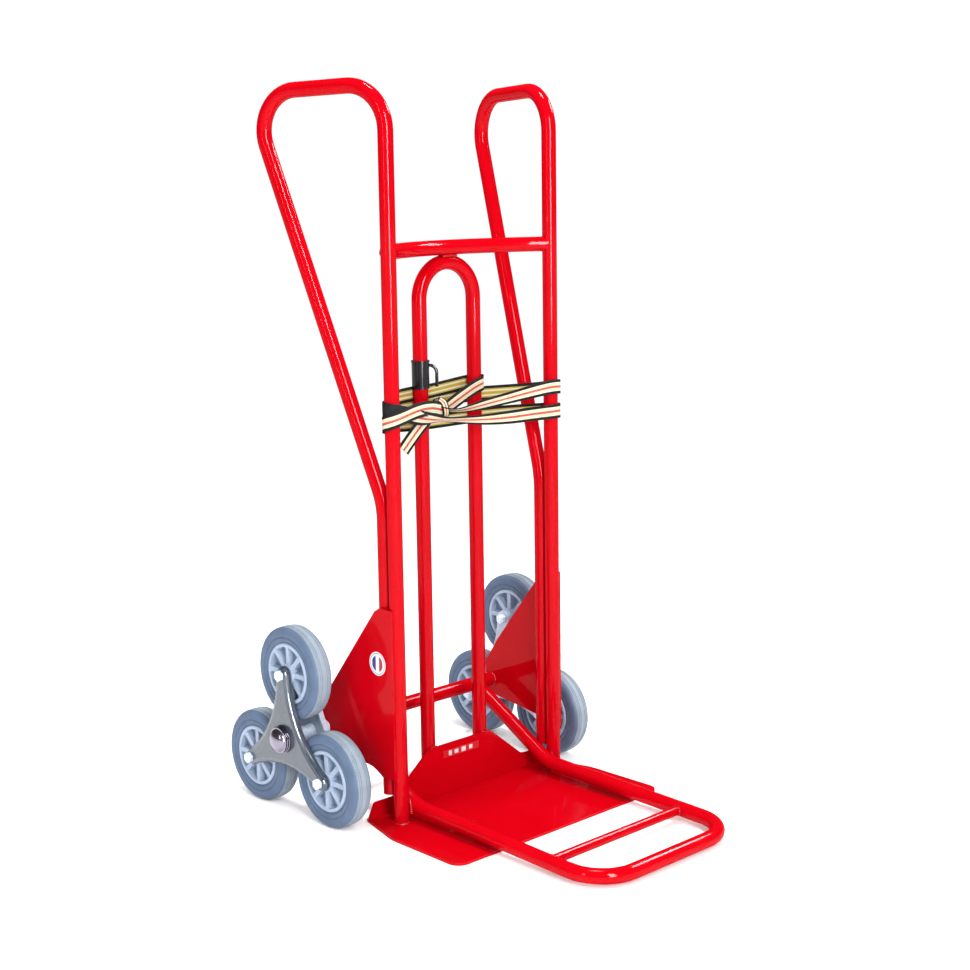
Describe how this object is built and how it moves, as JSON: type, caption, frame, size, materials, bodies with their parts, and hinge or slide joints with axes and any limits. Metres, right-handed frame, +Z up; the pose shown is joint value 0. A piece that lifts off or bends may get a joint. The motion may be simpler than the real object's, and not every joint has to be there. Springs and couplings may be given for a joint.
{
  "type": "stair-climbing hand truck",
  "caption": "Tube-frame stair-climbing hand truck with handle loops, fixed toe frame and plate, and a rotating three-wheel star on each side, with a webbing strap wound round the frame.",
  "frame": {"origin": "on the floor under the middle of the truck's own bounding box, strap left out", "axes": "+Z up, +X to the side with the wheel axle along X, -Y towards the toe frame, +Y towards the wheels"},
  "size_m": [0.6108, 0.7927, 1.2156],
  "materials": {
    "red_paint": "glossy red powder coat",
    "star_plate": "grey zinc plate",
    "zinc_steel": "bright zinc plate",
    "cap_chrome": "polished",
    "tyre_rubber": "matt blue-grey rubber",
    "hub_plastic": "satin light blue-grey",
    "black_plastic": "satin black",
    "webbing": "woven, striped",
    "label_film": "printed film"
  },
  "bodies": {
    "frame": {"left_side_frame": "red_paint", "right_side_frame": "red_paint", "upper_cross_tube": "red_paint", "inner_arch_tube": "red_paint", "toe_plate": "red_paint", "toe_frame_tube": "red_paint", "toe_cross_bar": "red_paint", "left_axle_gusset": "red_paint", "right_axle_gusset": "red_paint", "axle_tube": "red_paint", "axle_rod": "zinc_steel", "left_axle_collar": "zinc_steel", "left_retaining_ring": "zinc_steel", "left_axle_cap": "cap_chrome", "right_axle_collar": "zinc_steel", "right_retaining_ring": "zinc_steel", "right_axle_cap": "cap_chrome", "strap_upper_turn": "webbing", "strap_lower_turn": "webbing", "strap_leg_turn": "webbing", "strap_knot": "webbing", "strap_tail": "webbing", "strap_clip": "black_plastic", "round_label": "label_film", "plate_label": "label_film"},
    "left_star": {"left_star_outer_plate": "star_plate", "left_star_inner_plate": "star_plate", "left_star_hub_tube": "zinc_steel", "left_wheel_sleeves": "zinc_steel", "left_wheel_bolts": "zinc_steel", "left_wheel_nuts": "zinc_steel"},
    "left_upper_wheel": {"left_upper_tyre": "tyre_rubber", "left_upper_hub": "hub_plastic"},
    "left_front_wheel": {"left_front_tyre": "tyre_rubber", "left_front_hub": "hub_plastic"},
    "left_rear_wheel": {"left_rear_tyre": "tyre_rubber", "left_rear_hub": "hub_plastic"},
    "right_star": {"right_star_outer_plate": "star_plate", "right_star_inner_plate": "star_plate", "right_star_hub_tube": "zinc_steel", "right_wheel_sleeves": "zinc_steel", "right_wheel_bolts": "zinc_steel", "right_wheel_nuts": "zinc_steel"},
    "right_upper_wheel": {"right_upper_tyre": "tyre_rubber", "right_upper_hub": "hub_plastic"},
    "right_front_wheel": {"right_front_tyre": "tyre_rubber", "right_front_hub": "hub_plastic"},
    "right_rear_wheel": {"right_rear_tyre": "tyre_rubber", "right_rear_hub": "hub_plastic"}
  },
  "joints": [
    {"name": "left_star_spin", "type": "hinge", "parent": "frame", "child": "left_star", "pos_m": [-0.259, 0.2211, 0.135], "axis": [1, 0, 0], "continuous": true},
    {"name": "left_upper_wheel_spin", "type": "hinge", "parent": "left_star", "child": "left_upper_wheel", "pos_m": [-0.259, 0.2211, 0.245], "axis": [1, 0, 0], "continuous": true},
    {"name": "left_front_wheel_spin", "type": "hinge", "parent": "left_star", "child": "left_front_wheel", "pos_m": [-0.259, 0.12584, 0.08], "axis": [1, 0, 0], "continuous": true},
    {"name": "left_rear_wheel_spin", "type": "hinge", "parent": "left_star", "child": "left_rear_wheel", "pos_m": [-0.259, 0.31636, 0.08], "axis": [1, 0, 0], "continuous": true},
    {"name": "right_star_spin", "type": "hinge", "parent": "frame", "child": "right_star", "pos_m": [0.259, 0.2211, 0.135], "axis": [1, 0, 0], "continuous": true},
    {"name": "right_upper_wheel_spin", "type": "hinge", "parent": "right_star", "child": "right_upper_wheel", "pos_m": [0.259, 0.2211, 0.245], "axis": [1, 0, 0], "continuous": true},
    {"name": "right_front_wheel_spin", "type": "hinge", "parent": "right_star", "child": "right_front_wheel", "pos_m": [0.259, 0.12584, 0.08], "axis": [1, 0, 0], "continuous": true},
    {"name": "right_rear_wheel_spin", "type": "hinge", "parent": "right_star", "child": "right_rear_wheel", "pos_m": [0.259, 0.31636, 0.08], "axis": [1, 0, 0], "continuous": true}
  ]
}
